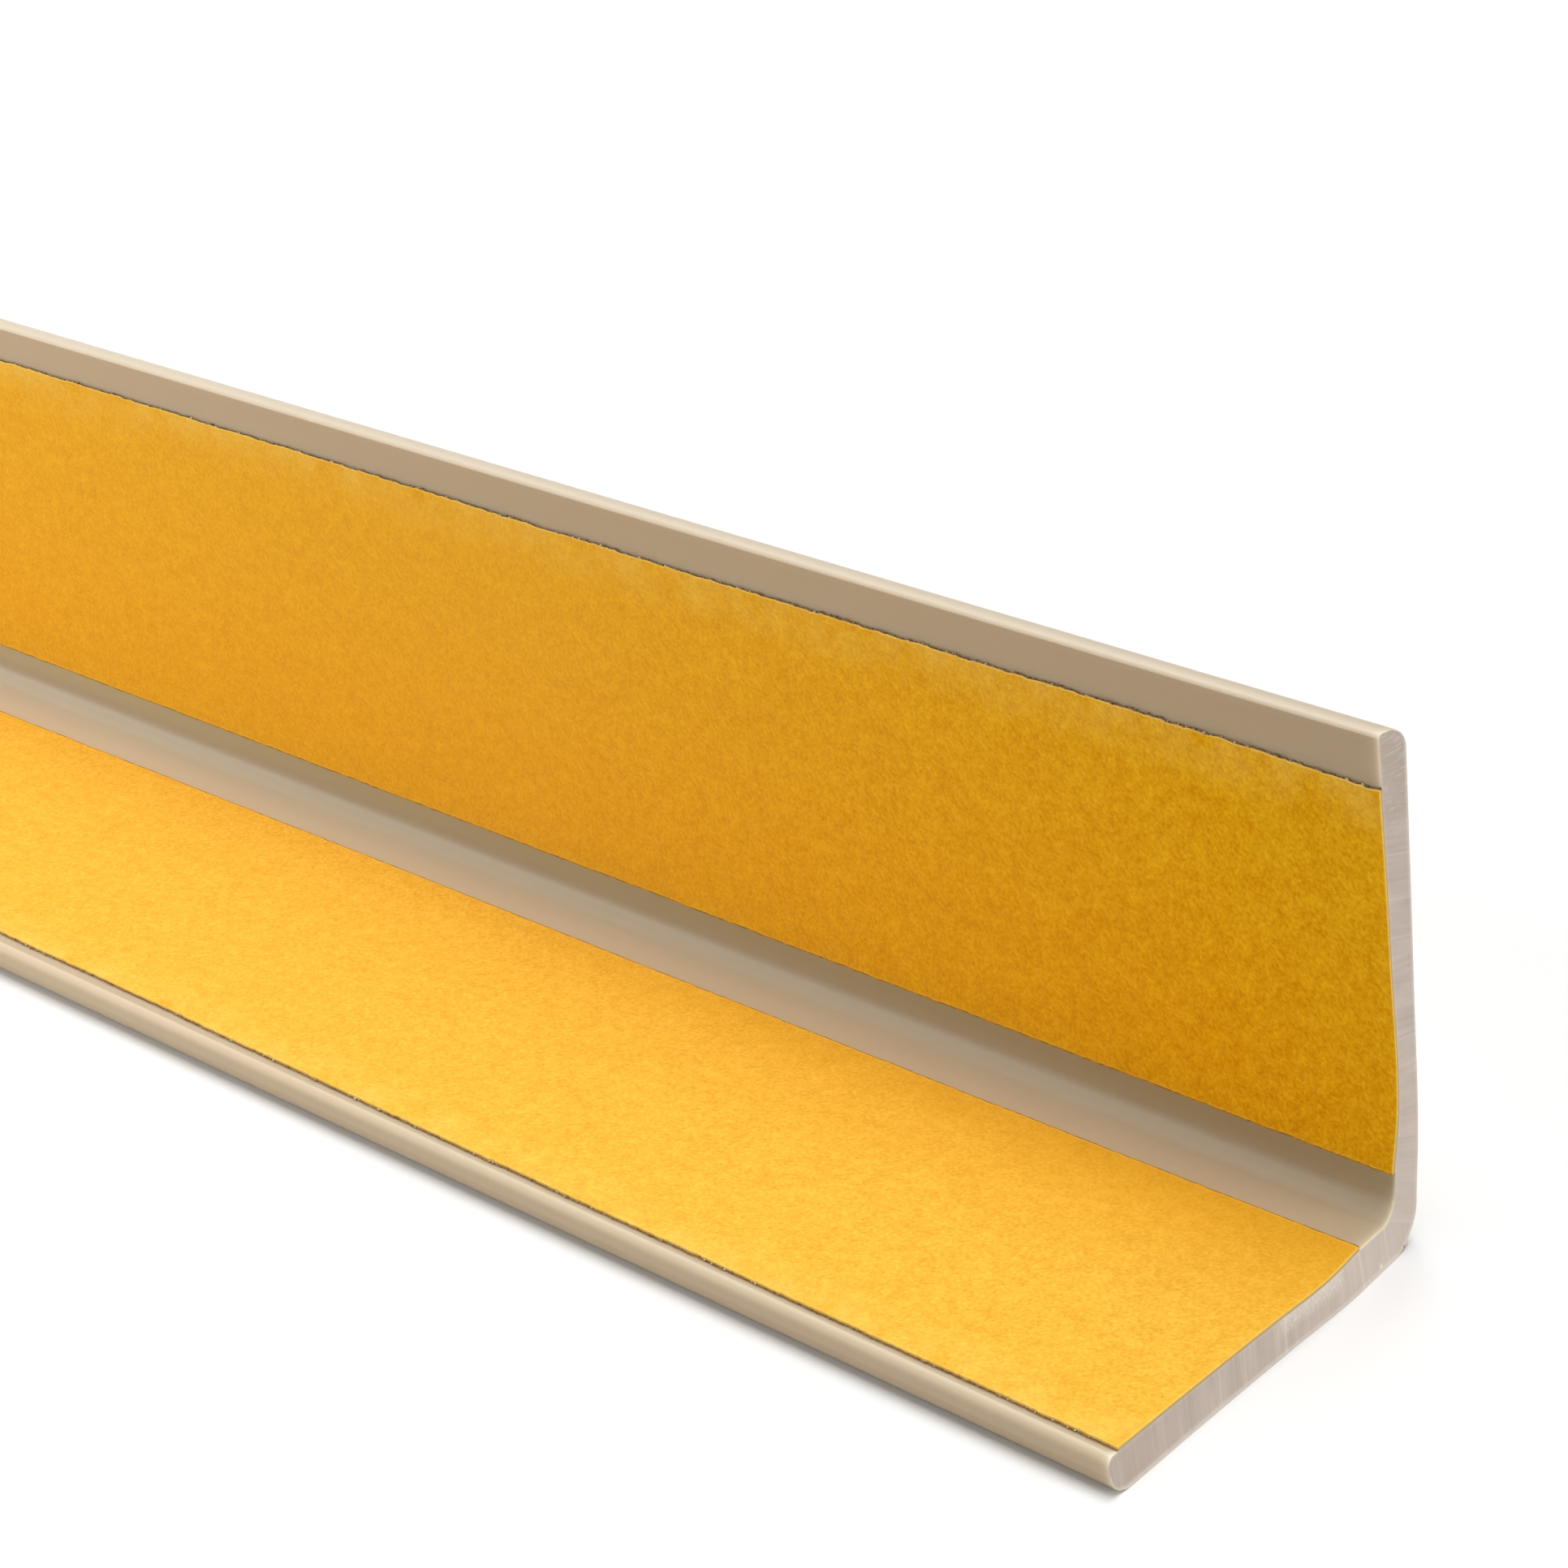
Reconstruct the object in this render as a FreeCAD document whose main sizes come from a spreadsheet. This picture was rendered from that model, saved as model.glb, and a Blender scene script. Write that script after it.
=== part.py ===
import FreeCAD, Part
import Sketcher
import math
import os

# Self-adhesive corner guard moulding, in millimetres.
# X runs along the length, with the raked cut at +X.
# The lower leg lies on Z = 0 and the upright leg stands at the +Y side.
# The origin is at the middle of the underside of the bounding box.
doc = FreeCAD.newDocument("corner_guard")

# Driving sizes
sheet = doc.addObject("Spreadsheet::Sheet", "sizes")
driving_sizes = [
    ("stock_length", "1000", "length of the moulding along its underside"),
    ("leg_width", "25", "outside width of each leg"),
    ("wall", "1.8", "thickness of both legs"),
    ("inner_corner_radius", "1.5", "fillet where the inner faces meet"),
    ("outer_corner_radius", "2", "rounding where the outer faces meet"),
    ("upper_tip_inner_radius", "0.2", "rounding of the upright leg's tip on the inner side"),
    ("upper_tip_flat", "0.6", "flat left on the upright leg's tip between its two roundings"),
    ("lower_tip_inner_radius", "0.45", "rounding of the lower leg's tip on the inner side"),
    ("lower_tip_flat", "0.35", "flat left on the lower leg's tip between its two roundings"),
    ("upper_corner_land", "0.7", "bare flat between the inner fillet and the upper strip"),
    ("upper_tip_land", "1.9", "bare flat between the upper strip and the tip rounding"),
    ("lower_corner_land", "2.05", "bare flat between the inner fillet and the lower strip"),
    ("lower_tip_land", "0.3", "bare flat between the lower strip and the tip rounding"),
    ("adhesive_thickness", "0.1", "thickness of the glue film"),
    ("liner_thickness", "0.1", "thickness of the release paper"),
    ("end_rake", "7.2", "lean of the cut end in degrees, top edge set back"),
]
for row, (alias, value, meaning) in enumerate(driving_sizes, start=1):
    sheet.set(f"A{row}", alias)
    sheet.set(f"B{row}", value)
    sheet.set(f"C{row}", meaning)
    sheet.setAlias(f"B{row}", alias)
doc.recompute()

# Sizes that follow from the driving ones, written as expressions
upper_tip_outer_radius = "sizes.wall - sizes.upper_tip_flat - sizes.upper_tip_inner_radius"
lower_tip_outer_radius = "sizes.wall - sizes.lower_tip_flat - sizes.lower_tip_inner_radius"
half_width = "sizes.leg_width / 2"
upright_inner_face = "sizes.leg_width / 2 - sizes.wall"
upper_strip_foot = "sizes.wall + sizes.inner_corner_radius + sizes.upper_corner_land"
upper_strip_width = (
    "sizes.leg_width - sizes.wall - sizes.inner_corner_radius - sizes.upper_corner_land"
    " - sizes.upper_tip_inner_radius - sizes.upper_tip_land"
)
lower_strip_edge = "sizes.leg_width / 2 - sizes.lower_tip_inner_radius - sizes.lower_tip_land"
lower_strip_width = (
    "sizes.leg_width - sizes.wall - sizes.inner_corner_radius - sizes.lower_corner_land"
    " - sizes.lower_tip_inner_radius - sizes.lower_tip_land"
)

# How far a cutting sketch reaches past the part on its open sides
cutter_margin = 5


def size(alias):
    """Value of one driving size."""
    return float(sheet.get(alias))


def new_sketch(body, role, name):
    """Empty sketch on one of the body's own origin planes."""
    plane = next(f for f in body.Origin.OriginFeatures if f.Role == role)
    sketch = body.newObject("Sketcher::SketchObject", name)
    sketch.AttachmentSupport = (plane, "")
    sketch.MapMode = "FlatFace"
    return sketch


def add_polygon(sketch, points):
    """Closed chain of lines through the points; line i starts at point i."""
    count = len(points)
    corners = [FreeCAD.Vector(x, y, 0) for x, y in points]
    for i in range(count):
        sketch.addGeometry(Part.LineSegment(corners[i], corners[(i + 1) % count]), False)
    for i in range(count):
        sketch.addConstraint(Sketcher.Constraint("Coincident", i, 2, (i + 1) % count, 1))


def bind(sketch, name, kind, where, start, expression):
    """Adds a named dimension and ties it to an expression."""
    index = sketch.addConstraint(Sketcher.Constraint(kind, *where, start))
    sketch.renameConstraint(index, name)
    sketch.setExpression(f"Constraints.{name}", expression)


def pad_along_length(body, sketch, name):
    """Carries a section half the stock length each way along X."""
    pad = body.newObject("PartDesign::Pad", name)
    pad.Profile = sketch
    pad.SideType = "Symmetric"
    pad.setExpression("Length", "sizes.stock_length")
    sketch.Visibility = False
    doc.recompute()
    return pad


def rake_end(body, prefix):
    """Cuts the +X end along a plane that meets the underside at the full length and leans back."""
    half_length = size("stock_length") / 2
    bottom, top = -cutter_margin, size("leg_width") + cutter_margin
    beyond = half_length + cutter_margin
    setback = math.tan(math.radians(size("end_rake")))
    sketch = new_sketch(body, "XZ_Plane", prefix + "_rake_sketch")
    add_polygon(
        sketch,
        [
            (half_length - setback * bottom, bottom),
            (beyond, bottom),
            (beyond, top),
            (half_length - setback * top, top),
        ],
    )
    for line in (0, 2):
        sketch.addConstraint(Sketcher.Constraint("Horizontal", line))
    sketch.addConstraint(Sketcher.Constraint("Vertical", 1))
    pivot = sketch.addGeometry(Part.Point(FreeCAD.Vector(half_length, 0, 0)), True)
    sketch.addConstraint(Sketcher.Constraint("PointOnObject", pivot, 1, -1))
    sketch.addConstraint(Sketcher.Constraint("PointOnObject", pivot, 1, 3))
    bind(sketch, "pivot_x", "DistanceX", (-1, 1, pivot, 1), half_length, "sizes.stock_length / 2")
    bind(sketch, "beyond", "DistanceX", (-1, 1, 1, 2), beyond, f"sizes.stock_length / 2 + {cutter_margin}")
    bind(sketch, "above", "DistanceY", (-1, 1, 1, 2), top, f"sizes.leg_width + {cutter_margin}")
    sketch.addConstraint(Sketcher.Constraint("DistanceY", 0, 1, -1, 1, cutter_margin))
    bind(sketch, "lean", "Angle", (3, 1, 2, 2), math.radians(90 - size("end_rake")),
         "90 deg - sizes.end_rake * 1 deg")
    before = body.Shape.Volume
    cut = body.newObject("PartDesign::Pocket", prefix + "_rake")
    cut.Profile = sketch
    cut.SideType = "Symmetric"
    cut.Type = "ThroughAll"
    sketch.Visibility = False
    doc.recompute()
    print(prefix, "raked end removes", round(before - body.Shape.Volume, 3), "mm3")


def long_edges(shape, y, z):
    """Names of the straight edges along X at the given y and z."""
    names = []
    for number, edge in enumerate(shape.Edges, start=1):
        middle = edge.BoundBox.Center
        if edge.BoundBox.XLength > 1 and abs(middle.y - y) < 1e-6 and abs(middle.z - z) < 1e-6:
            names.append(f"Edge{number}")
    return names


def round_edge(body, name, place, radius):
    """Rounds the long edge at the given (y, z) place."""
    base = body.Tip
    fillet = body.newObject("PartDesign::Fillet", name)
    fillet.Base = (base, long_edges(base.Shape, *place))
    fillet.setExpression("Radius", radius)
    doc.recompute()
    print(name, "rounded to", round(float(fillet.Radius), 3), "mm")


# Angle profile: one extrusion with two equal legs
profile = doc.addObject("PartDesign::Body", "angle_profile")
profile.Label = "angle_profile"
leg = size("leg_width")
half = leg / 2
wall = size("wall")
section = new_sketch(profile, "YZ_Plane", "angle_section")
add_polygon(
    section,
    [(-half, 0), (half, 0), (half, leg), (half - wall, leg), (half - wall, wall), (-half, wall)],
)
for line in (0, 2, 4):
    section.addConstraint(Sketcher.Constraint("Horizontal", line))
for line in (1, 3, 5):
    section.addConstraint(Sketcher.Constraint("Vertical", line))
section.addConstraint(Sketcher.Constraint("PointOnObject", 0, 1, -1))
bind(section, "back", "DistanceX", (-1, 1, 0, 2), half, half_width)
bind(section, "lower_leg", "DistanceX", (0, 1, 0, 2), leg, "sizes.leg_width")
bind(section, "upright_leg", "DistanceY", (1, 1, 1, 2), leg, "sizes.leg_width")
bind(section, "upright_wall", "DistanceX", (2, 2, 2, 1), wall, "sizes.wall")
bind(section, "lower_wall", "DistanceY", (5, 2, 5, 1), wall, "sizes.wall")
pad_along_length(profile, section, "angle_stock")
round_edge(profile, "outer_corner", (half, 0), "sizes.outer_corner_radius")
round_edge(profile, "inner_corner", (half - wall, wall), "sizes.inner_corner_radius")
round_edge(profile, "upper_tip_inner_edge", (half - wall, leg), "sizes.upper_tip_inner_radius")
round_edge(profile, "upper_tip_outer_edge", (half, leg), upper_tip_outer_radius)
round_edge(profile, "lower_tip_inner_edge", (-half, wall), "sizes.lower_tip_inner_radius")
round_edge(profile, "lower_tip_outer_edge", (-half, 0), lower_tip_outer_radius)
rake_end(profile, "angle")


def add_upper_strip(label, stand_off, thickness):
    """Flat strip on the upright leg, lying stand_off away from its inner face."""
    body = doc.addObject("PartDesign::Body", label)
    body.Label = label
    sketch = new_sketch(body, "YZ_Plane", label + "_section")
    face = half - wall
    outside = face - size("adhesive_thickness") - size("liner_thickness")
    foot = wall + size("inner_corner_radius") + size("upper_corner_land")
    head = leg - size("upper_tip_inner_radius") - size("upper_tip_land")
    add_polygon(sketch, [(outside, foot), (face, foot), (face, head), (outside, head)])
    for line in (0, 2):
        sketch.addConstraint(Sketcher.Constraint("Horizontal", line))
    for line in (1, 3):
        sketch.addConstraint(Sketcher.Constraint("Vertical", line))
    bind(sketch, "face_y", "DistanceX", (-1, 1, 0, 2), face, upright_inner_face + stand_off)
    bind(sketch, "thickness", "DistanceX", (0, 1, 0, 2), face - outside, thickness)
    bind(sketch, "foot", "DistanceY", (-1, 1, 0, 2), foot, upper_strip_foot)
    bind(sketch, "width", "DistanceY", (1, 1, 1, 2), head - foot, upper_strip_width)
    pad_along_length(body, sketch, label + "_stock")
    rake_end(body, label)
    return body


def add_lower_strip(label, stand_off, thickness):
    """Flat strip on the lower leg, lying stand_off above its inner face."""
    body = doc.addObject("PartDesign::Body", label)
    body.Label = label
    sketch = new_sketch(body, "YZ_Plane", label + "_section")
    outside = wall + size("adhesive_thickness") + size("liner_thickness")
    foot = half - wall - size("inner_corner_radius") - size("lower_corner_land")
    head = size("lower_tip_inner_radius") + size("lower_tip_land") - half
    add_polygon(sketch, [(head, wall), (foot, wall), (foot, outside), (head, outside)])
    for line in (0, 2):
        sketch.addConstraint(Sketcher.Constraint("Horizontal", line))
    for line in (1, 3):
        sketch.addConstraint(Sketcher.Constraint("Vertical", line))
    bind(sketch, "edge_y", "DistanceX", (0, 1, -1, 1), -head, lower_strip_edge)
    bind(sketch, "width", "DistanceX", (0, 1, 0, 2), foot - head, lower_strip_width)
    bind(sketch, "face_z", "DistanceY", (-1, 1, 0, 1), wall, "sizes.wall" + stand_off)
    bind(sketch, "thickness", "DistanceY", (1, 1, 1, 2), outside - wall, thickness)
    pad_along_length(body, sketch, label + "_stock")
    rake_end(body, label)
    return body


# Double-sided tape: a glue film on each inner face and a paper liner over each film
bodies = [
    profile,
    add_upper_strip("upper_adhesive_strip", "", "sizes.adhesive_thickness"),
    add_lower_strip("lower_adhesive_strip", "", "sizes.adhesive_thickness"),
    add_upper_strip("upper_release_liner", " - sizes.adhesive_thickness", "sizes.liner_thickness"),
    add_lower_strip("lower_release_liner", " + sizes.adhesive_thickness", "sizes.liner_thickness"),
]
doc.recompute()

# Every feature has to be sound before anything is written
for item in doc.Objects:
    if "Invalid" in item.State or "Error" in item.State:
        raise RuntimeError(f"{item.Name} did not build: {item.State}")
for body in bodies:
    shape = body.Shape
    if shape.isNull() or not shape.isValid() or len(shape.Solids) != 1:
        raise RuntimeError(f"{body.Label} is not one sound solid")

os.makedirs("parts", exist_ok=True)
for body in bodies:
    body.Shape.exportStep(f"parts/{body.Label}.step")
    box = body.Shape.BoundBox
    print(body.Label, round(body.Shape.Volume, 2), "mm3, box",
          [round(v, 3) for v in (box.XMin, box.XMax, box.YMin, box.YMax, box.ZMin, box.ZMax)])
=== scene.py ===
# %% [markdown]
# # Corner guard moulding
# This lesson dresses one length of self-adhesive corner guard: a beige PVC angle with two strips of
# double-sided tape, each still under its golden yellow release paper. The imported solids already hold
# every size and place. Blender adds what a solid can't show: the marks on the cut end, the slit edges
# of the paper, the glue that creeps out beside them, and the finish of each surface.

import bpy
import numpy as np
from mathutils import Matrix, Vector


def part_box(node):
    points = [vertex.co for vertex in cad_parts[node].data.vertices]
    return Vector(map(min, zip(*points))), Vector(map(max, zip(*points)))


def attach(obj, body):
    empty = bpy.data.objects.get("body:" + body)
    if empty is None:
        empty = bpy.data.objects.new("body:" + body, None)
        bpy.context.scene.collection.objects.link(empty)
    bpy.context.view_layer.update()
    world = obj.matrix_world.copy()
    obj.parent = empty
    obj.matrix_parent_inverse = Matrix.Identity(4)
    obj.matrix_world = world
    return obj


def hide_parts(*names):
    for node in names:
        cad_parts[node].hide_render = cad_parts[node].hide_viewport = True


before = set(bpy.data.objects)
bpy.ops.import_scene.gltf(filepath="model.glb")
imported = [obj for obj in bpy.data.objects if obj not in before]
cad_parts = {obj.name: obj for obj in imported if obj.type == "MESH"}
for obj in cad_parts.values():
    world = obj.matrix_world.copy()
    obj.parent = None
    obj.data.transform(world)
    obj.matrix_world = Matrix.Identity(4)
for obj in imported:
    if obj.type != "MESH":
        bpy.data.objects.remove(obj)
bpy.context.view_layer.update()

# %% [markdown]
# Everything below is worked out in millimetres, because that is how such stock is measured, and turned
# into metres when a mesh is made. The leg, the wall, the places of the strips and the lean of the cut
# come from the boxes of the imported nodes, so the looks follow the solids if those change.

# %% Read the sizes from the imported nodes
MM = 0.001
angle_low, angle_high = (np.array(corner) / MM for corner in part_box("angle_profile"))
upper_low, upper_high = (np.array(corner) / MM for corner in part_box("upper_release_liner"))
lower_low, lower_high = (np.array(corner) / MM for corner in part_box("lower_release_liner"))
upper_glue_high = np.array(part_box("upper_adhesive_strip")[1]) / MM

far_x, end_x = angle_low[0], angle_high[0]
tip_y, back_y = angle_low[1], angle_high[1]
leg = angle_high[2]
upright_face = upper_glue_high[1]
wall = back_y - upright_face
rake = (end_x - upper_high[0]) / upper_low[2]
glue_thickness = upright_face - upper_high[1]
liner_thickness = upper_high[1] - upper_low[1]
span = end_x - far_x
print(f"leg {leg:.2f}, wall {wall:.2f}, lean of the cut {np.degrees(np.arctan(rake)):.2f} degrees")

# %% [markdown]
# The camera comes early, so that every later step can be looked at from the right place. It stands level,
# a little above the moulding and to the right of its cut end, and looks down along it. It could be moved
# about by hand until the edges fit. Its place, its angles and its focal length were solved from the
# moulding's straight edges instead.

# %% Camera
IMAGE_SIDE = 1932
FOCAL_PIXELS = 4120.8
eye = Vector((559.53, -106.63, 83.87)) * MM
look_azimuth, look_elevation = np.radians(39.26), np.radians(25.08)
look = Vector((
    -np.sin(look_azimuth) * np.cos(look_elevation),
    np.cos(look_azimuth) * np.cos(look_elevation),
    -np.sin(look_elevation),
))
camera_data = bpy.data.cameras.new("camera")
camera_data.sensor_width = 36
camera_data.lens = camera_data.sensor_width * FOCAL_PIXELS / IMAGE_SIDE
camera_data.clip_start = 0.01
camera_data.clip_end = 20
camera = bpy.data.objects.new("camera", camera_data)
camera.location = eye
camera.rotation_euler = look.to_track_quat("-Z", "Y").to_euler()
bpy.context.scene.collection.objects.link(camera)
bpy.context.scene.camera = camera
print("lens", round(camera_data.lens, 2), "mm")

# %% [markdown]
# Real edges and papers are never straight or even. They could be roughened with modifiers, but then edges
# that were cut together would part. So a few functions give the same smooth line or field to every piece
# that asks for it. Their random numbers are seeded, and every run gives the same part.

# %% Smooth random lines and fields
def eased(share):
    """Half a cosine wave: 0 at 0, 1 at 1 and level at both."""
    return 0.5 - 0.5 * np.cos(np.pi * share)


def drift(place, spacing, seed):
    """Smooth random line from -1 to 1: random heights at even knots, eased from one to the next."""
    step = place / spacing
    knot = np.floor(step).astype(int)
    heights = np.random.default_rng(seed).uniform(-1, 1, np.ptp(knot) + 2)
    ease = eased(step - knot)
    near = knot - knot.min()
    return heights[near] * (1 - ease) + heights[near + 1] * ease


def dapple(along, across, spacing, seed):
    """Smooth random field from -1 to 1: random heights on a square lattice, eased both ways."""
    a, b = along / spacing, across / spacing
    i, j = np.floor(a).astype(int), np.floor(b).astype(int)
    ease_a, ease_b = eased(a - i), eased(b - j)
    i, j = i - i.min(), j - j.min()
    heights = np.random.default_rng(seed).uniform(-1, 1, (i.max() + 2, j.max() + 2))
    low = heights[i, j] * (1 - ease_b) + heights[i, j + 1] * ease_b
    high = heights[i + 1, j] * (1 - ease_b) + heights[i + 1, j + 1] * ease_b
    return low * (1 - ease_a) + high * ease_a


def smooth_line(place, knots, heights):
    """Line through a few knots in cubic pieces, with a slope at each knot that follows its neighbours."""
    slope = np.gradient(heights, knots)
    piece = np.clip(np.searchsorted(knots, place) - 1, 0, len(knots) - 2)
    width = knots[piece + 1] - knots[piece]
    t = (place - knots[piece]) / width
    level = heights[piece] * (1 + 2 * t) * (1 - t) ** 2 + heights[piece + 1] * t ** 2 * (3 - 2 * t)
    return level + width * (slope[piece] * t * (1 - t) ** 2 - slope[piece + 1] * t ** 2 * (1 - t))


# %% [markdown]
# A surface here is a grid of points worked out as whole arrays. One helper numbers the corners of a grid's
# quads, one joins separate shapes into one, and one hands the arrays to Blender. A shape is always the same
# three things: its points, its groups of faces and its named values, which the finishes read later. The
# volume printed for each piece is positive only if its faces look outwards.

# %% From arrays to a piece
SHARP_ANGLE = 50


def quads(rows, columns, wrap=False):
    """Corner numbers of the quads of a grid of points; wrap joins the last column to the first."""
    row, column = np.meshgrid(np.arange(rows - 1), np.arange(columns - (not wrap)), indexing="ij")
    beside = (column + 1) % columns
    corners = [row * columns + column, row * columns + beside,
               (row + 1) * columns + beside, (row + 1) * columns + column]
    return np.stack(corners, axis=-1).reshape(-1, 4)


def volume(points, groups):
    """Sum of the pyramids from the origin to every face: negative if the faces look inwards."""
    total = 0
    for group in groups:
        first, second, third = points[group[:, :1]], points[group[:, 1:-1]], points[group[:, 2:]]
        total += (first * np.cross(second, third)).sum() / 6
    return total


def join(*shapes):
    """One shape from several, each of them turned so that its faces look outwards."""
    starts = np.cumsum([0] + [len(points) for points, _, _ in shapes])
    faces = []
    for (points, groups, _), start in zip(shapes, starts):
        way = 1 if volume(points - points.mean(axis=0), groups) > 0 else -1
        faces += [group[:, ::way] + start for group in groups]
    traits = {name: np.concatenate([values[name] for _, _, values in shapes]) for name in shapes[0][2]}
    return np.vstack([points for points, _, _ in shapes]), faces, traits


def new_piece(name, node, slot, *shapes):
    """Mesh object from shapes in millimetres, told which node it stands for; the slot argument is not used.
    """
    points, faces, traits = join(*shapes)
    mesh = bpy.data.meshes.new(name)
    mesh.from_pydata((points * MM).tolist(), [], [face for group in faces for face in group.tolist()])
    mesh.polygons.foreach_set("use_smooth", np.ones(len(mesh.polygons), bool))
    mesh.set_sharp_from_angle(angle=np.radians(SHARP_ANGLE))
    for trait, values in traits.items():
        mesh.attributes.new(trait, "FLOAT", "POINT").data.foreach_set("value", values.astype(np.float32))
    piece = bpy.data.objects.new(name, mesh)
    bpy.context.scene.collection.objects.link(piece)
    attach(piece, "root")
    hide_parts(node)
    triangles = sum(len(face.vertices) - 2 for face in mesh.polygons)
    print(f"{name}: {triangles} triangles, {volume(points, faces):.1f} cubic millimetres")
    return piece


# %% [markdown]
# The PVC angle leaves the die as one section: two equal legs, a round outer corner, a small inner fillet,
# and tips that are round outside and only eased inside. It could be an extruded curve, but the cut end then
# gets a flat cap with no points to shape. So the section is made of two chains that run side by side from
# the lower tip to the upper one, an outer and an inner, with as many points each. The rungs between them
# fill the cut end as a grid.

# %% Section of the angle
INNER_FILLET = 1.1
OUTER_CORNER = 2.0
TIP_OUTER = 1.0
LOWER_EASE, UPPER_EASE = 0.45, 0.2
TIP_POINTS, FACE_POINTS, CORNER_POINTS, RUNGS = 14, 150, 40, 15


def arc(centre_y, centre_z, radius, start, stop, count):
    """Points round a centre from one angle in degrees to another."""
    angle = np.radians(np.linspace(start, stop, count))
    return np.column_stack([centre_y + radius * np.cos(angle), centre_z + radius * np.sin(angle)])


def run(start, stop, count):
    """Points along a straight face, without its two ends, which belong to the arcs beside it."""
    share = np.linspace(0, 1, count + 2)[1:-1, None]
    return np.array(start) * (1 - share) + np.array(stop) * share


def chain(tip, corner, top):
    """Lower tip, straight face, corner, straight face and upper tip, in that order."""
    lower_run = run(tip[-1], corner[0], FACE_POINTS)
    upper_run = run(corner[-1], top[0], FACE_POINTS)
    return np.vstack([tip, lower_run, corner, upper_run, top])


outer = chain(
    arc(tip_y + TIP_OUTER, TIP_OUTER, TIP_OUTER, 180, 270, TIP_POINTS),
    arc(back_y - OUTER_CORNER, OUTER_CORNER, OUTER_CORNER, -90, 0, CORNER_POINTS),
    arc(back_y - TIP_OUTER, leg - TIP_OUTER, TIP_OUTER, 0, 90, TIP_POINTS),
)
inner = chain(
    arc(tip_y + LOWER_EASE, wall - LOWER_EASE, LOWER_EASE, 180, 90, TIP_POINTS),
    arc(upright_face - INNER_FILLET, wall + INNER_FILLET, INNER_FILLET, -90, 0, CORNER_POINTS),
    arc(upright_face + UPPER_EASE, leg - UPPER_EASE, UPPER_EASE, 180, 90, TIP_POINTS),
)
CHAIN = len(outer)
print("section", CHAIN, "rungs, thinnest", round(np.linalg.norm(outer - inner, axis=1).min(), 2), "mm")

# %% [markdown]
# The end was cut by a blade that leaned and tore a little. The cut isn't quite a plane: it bows by up to a
# few tenths of a millimetre, and not alike on the inner and the outer side of the wall. A boolean cut with a
# bent sheet could make that. Here one function says where the cut meets any place in the section, from a
# line through a few places along each side, so plastic, glue and paper all end on the same bowed face.

# %% Where the cut lies
BOW_AT = np.array([0, 8, 14, 19, 22, 27, 30, 38, 50])
INNER_BOW = np.array([-0.3, -0.25, -0.15, -0.05, -0.3, -0.33, 0, -0.06, -0.36])
OUTER_BOW = np.array([-0.1, -0.13, -0.09, -0.02, -0.16, -0.24, -0.07, 0, 0.03])


def cut_x(y, z):
    """Where the cut meets a place in the section: the end, less the lean times the height, plus the bow."""
    across = np.clip(np.maximum((y - upright_face) / wall, 1 - z / wall), 0, 1)
    place = y - tip_y + z
    inner_bow, outer_bow = smooth_line(place, BOW_AT, INNER_BOW), smooth_line(place, BOW_AT, OUTER_BOW)
    bow = inner_bow * (1 - across) + outer_bow * across
    return end_x - rake * z + bow


print(f"the cut lies at {cut_x(tip_y, 0):.2f} at the lower tip and {cut_x(back_y, leg):.2f} at the top")

# %% [markdown]
# The edge of the cut is broken by a few hundredths of a millimetre. Where tape covers the wall, the two were
# cut together and the edge stays sharp. A bevel modifier can't tell those places apart, so the border of the
# section is drawn in along vectors that point into the wall.

# %% Border of the section
EDGE_BREAK = 0.06
SAME_FACE = 0.01
TAPE_MARGIN, TOP_MARGIN = 0.1, 0.5


def section_grid():
    """Rungs from the outer chain to the inner one, as an array of rung places by chain places by (y, z)."""
    share = np.linspace(0, 1, RUNGS + 2)[:, None, None]
    return outer[None] * (1 - share) + inner[None] * share


def border_of(grid):
    """The grid's border in one closed round: outer chain, upper tip, inner chain back, lower tip."""
    return np.concatenate([grid[0], grid[1:-1, -1], grid[-1][::-1], grid[1:-1, 0][::-1]])


def inwards(loop):
    """Unit vectors from each point of the border into the wall, at right angles to the border."""
    tangent = np.roll(loop, -1, axis=0) - np.roll(loop, 1, axis=0)
    normal = np.column_stack([-tangent[:, 1], tangent[:, 0]])
    return normal / np.linalg.norm(normal, axis=1, keepdims=True)


def kept_sharp(loop):
    """True where the border lies under a strip of tape or on the floor, and its edge isn't broken."""
    y, z = loop.T
    beside_upper = (z > upper_low[2] + TAPE_MARGIN) & (z < upper_high[2] - TOP_MARGIN)
    behind_upper = (y < upright_face + SAME_FACE) & beside_upper
    beside_lower = (y > lower_low[1] + TAPE_MARGIN) & (y < lower_high[1])
    below_lower = (np.abs(z - wall) < SAME_FACE) & beside_lower
    return behind_upper | below_lower | (z < SAME_FACE)


def worn_edges(loop):
    """1 on the roundings of the two tips that are handled and rubbed pale, 0 elsewhere."""
    y, z = loop.T
    return ((y < tip_y + LOWER_EASE) & (z > wall - 2 * LOWER_EASE)) | (z > leg - UPPER_EASE)


def edge_loops(border, setback):
    """The border at each distance from the cut, drawn in near both ends by the square of the way left."""
    inset = EDGE_BREAK * np.clip(1 - np.minimum(setback, span - setback) / EDGE_BREAK, 0, 1) ** 2
    broken = ~kept_sharp(border)
    return border[None] + inwards(border)[None] * inset[:, None, None] * broken[None, :, None]


print("border of", len(border_of(section_grid())), "points")

# %% [markdown]
# The blade's marks run through the wall, so their height depends on the place along the section. On the
# upright they slant, and they slant more towards a knock in the corner where the blade caught. Bump alone
# would do for a far view. Here the marks are cut into the grid itself, up to two hundredths deep.

# %% Marks on the cut
MARK_DEPTH, MARK_SLANT = 0.008, 0.23
MARK_FADE = 0.1
KNOCK, KNOCK_SLANT = 6.7, 0.47
STEEP_BELOW, STEEP_RANGE = 8, 6


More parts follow.
